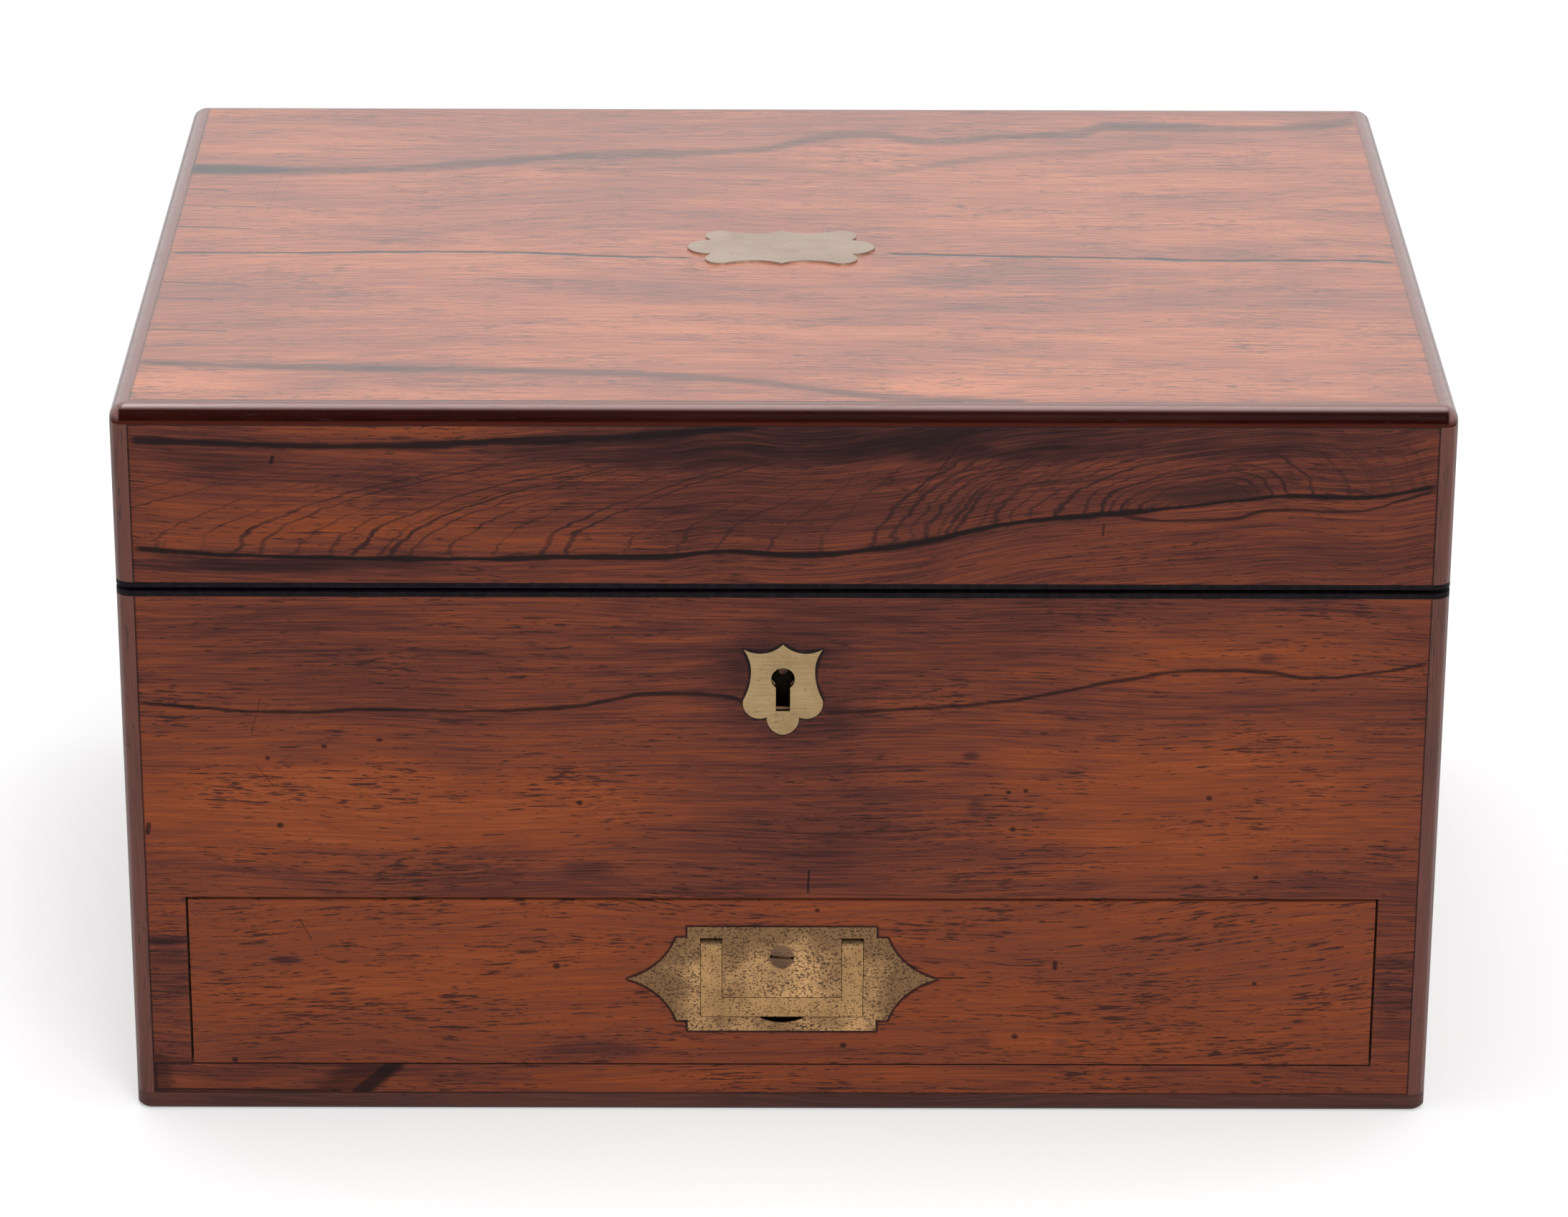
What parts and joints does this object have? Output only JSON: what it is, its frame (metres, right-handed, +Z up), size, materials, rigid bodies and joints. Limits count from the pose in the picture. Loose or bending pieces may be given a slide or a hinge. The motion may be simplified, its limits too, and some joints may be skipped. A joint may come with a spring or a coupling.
{
  "type": "fitted dressing box",
  "caption": "Veneered wooden dressing box with a hinged lid, lift-out tray of capped jars, framed lid mirror, lock, and a full-width drawer with a flush drop handle.",
  "frame": {"origin": "middle of the footprint on the surface it stands on, hinge knuckles included", "axes": "+X to the right seen from the front, -Y out of the front, +Z up"},
  "size_m": [0.305, 0.222, 0.1781],
  "materials": {
    "rosewood_veneer": "waxed rosewood veneer, red-brown with black streaks",
    "rosewood_lid_top": "waxed rosewood veneer, faded by light",
    "rosewood_drawer_veneer": "waxed rosewood veneer, orange-red",
    "rosewood_edging": "polished solid rosewood",
    "ebonised_lip": "ebonised, satin",
    "carcass_wood": "plain sawn softwood",
    "drawer_mahogany": "oiled mahogany",
    "tray_rosewood": "polished rosewood",
    "lining_paper": "plain purple lining paper",
    "base_baize": "green wool baize",
    "purple_velvet": "faded purple velvet",
    "handle_brass": "aged brass, flecked dark",
    "screw_brass": "tarnished brass",
    "escutcheon_brass": "brushed pale brass",
    "plaque_brass": "pale brass, finely scratched",
    "lock_brass": "filed brass",
    "pin_steel": "browned steel",
    "mirror_glass": "old silvered glass",
    "jar_glass": "clear polished glass",
    "plated_cap": "silver plate, softly worn"
  },
  "bodies": {
    "case": {"case_front_board": "carcass_wood", "case_front_frame": "carcass_wood", "case_side_boards": "carcass_wood", "case_back_board": "carcass_wood", "case_bottom_board": "carcass_wood", "compartment_floor": "carcass_wood", "drawer_runners": "carcass_wood", "case_front_veneer": "rosewood_veneer", "case_side_veneers": "rosewood_veneer", "case_corner_mouldings": "rosewood_edging", "case_base_mouldings": "rosewood_edging", "case_lip": "ebonised_lip", "base_baize": "base_baize", "compartment_lining": "lining_paper", "escutcheon": "escutcheon_brass", "lock_case": "lock_brass", "lock_screws": "screw_brass", "lock_drill_pin": "pin_steel", "hinge_case_leaves": "lock_brass", "hinge_case_screws": "screw_brass", "hinge_pins": "pin_steel"},
    "lid": {"lid_top_board": "carcass_wood", "lid_wall_boards": "carcass_wood", "lid_top_veneer": "rosewood_lid_top", "lid_wall_veneers": "rosewood_veneer", "lid_corner_mouldings": "rosewood_edging", "lid_top_mouldings": "rosewood_edging", "lid_lip": "ebonised_lip", "lid_plaque": "plaque_brass", "mirror_frame": "tray_rosewood", "mirror_glass": "mirror_glass", "mirror_backing": "carcass_wood", "lid_velvet": "purple_velvet", "catch_screw": "screw_brass", "hinge_lid_leaves": "lock_brass", "hinge_lid_screws": "screw_brass", "lock_link_plate": "lock_brass", "link_plate_screws": "screw_brass"},
    "lock_bolt": {"lock_bolt": "lock_brass"},
    "mirror_catch": {"mirror_catch": "lock_brass"},
    "drawer": {"drawer_front_veneer": "rosewood_drawer_veneer", "drawer_front_board": "carcass_wood", "drawer_sides": "drawer_mahogany", "drawer_back": "drawer_mahogany", "drawer_bottom": "drawer_mahogany", "drawer_velvet": "purple_velvet", "drawer_dividers": "drawer_mahogany", "handle_plate": "handle_brass", "handle_screw": "screw_brass", "handle_pins": "handle_brass"},
    "handle_bail": {"handle_bail": "handle_brass"},
    "tray": {"tray_box": "tray_rosewood", "tray_velvet": "purple_velvet", "glass_jars": "jar_glass"},
    "cap_box_front": {"cap_box_front": "plated_cap"},
    "cap_box_back": {"cap_box_back": "plated_cap"},
    "cap_long": {"cap_long": "plated_cap"},
    "cap_flask_front": {"cap_flask_front": "plated_cap"},
    "cap_flask_middle": {"cap_flask_middle": "plated_cap"},
    "cap_flask_back": {"cap_flask_back": "plated_cap"}
  },
  "joints": [
    {"name": "lid_hinge", "type": "hinge", "parent": "case", "child": "lid", "pos_m": [0, 0.10902, 0.1332], "axis": [-1, 0, 0], "range_deg": [0, 97]},
    {"name": "lock_bolt_slide", "type": "slide", "parent": "case", "child": "lock_bolt", "axis": [1, 0, 0], "range_m": [0, 0.004]},
    {"name": "mirror_catch_turn", "type": "hinge", "parent": "lid", "child": "mirror_catch", "pos_m": [0, -0.09398, 0.1607], "axis": [0, 0, 1], "range_deg": [-90, 90]},
    {"name": "drawer_slide", "type": "slide", "parent": "case", "child": "drawer", "axis": [0, -1, 0], "range_m": [0, 0.15]},
    {"name": "handle_bail_hinge", "type": "hinge", "parent": "drawer", "child": "handle_bail", "pos_m": [0, -0.10858, 0.0425], "axis": [-1, 0, 0], "range_deg": [0, 90]},
    {"name": "tray_lift", "type": "slide", "parent": "case", "child": "tray", "axis": [0, 0, 1], "range_m": [0, 0.021]},
    {"name": "cap_box_front_lift", "type": "slide", "parent": "tray", "child": "cap_box_front", "axis": [0, 0, 1], "range_m": [0, 0.012]},
    {"name": "cap_box_back_lift", "type": "slide", "parent": "tray", "child": "cap_box_back", "axis": [0, 0, 1], "range_m": [0, 0.012]},
    {"name": "cap_long_lift", "type": "slide", "parent": "tray", "child": "cap_long", "axis": [0, 0, 1], "range_m": [0, 0.012]},
    {"name": "cap_flask_front_lift", "type": "slide", "parent": "tray", "child": "cap_flask_front", "axis": [0, 0, 1], "range_m": [0, 0.012]},
    {"name": "cap_flask_middle_lift", "type": "slide", "parent": "tray", "child": "cap_flask_middle", "axis": [0, 0, 1], "range_m": [0, 0.012]},
    {"name": "cap_flask_back_lift", "type": "slide", "parent": "tray", "child": "cap_flask_back", "axis": [0, 0, 1], "range_m": [0, 0.012]}
  ]
}
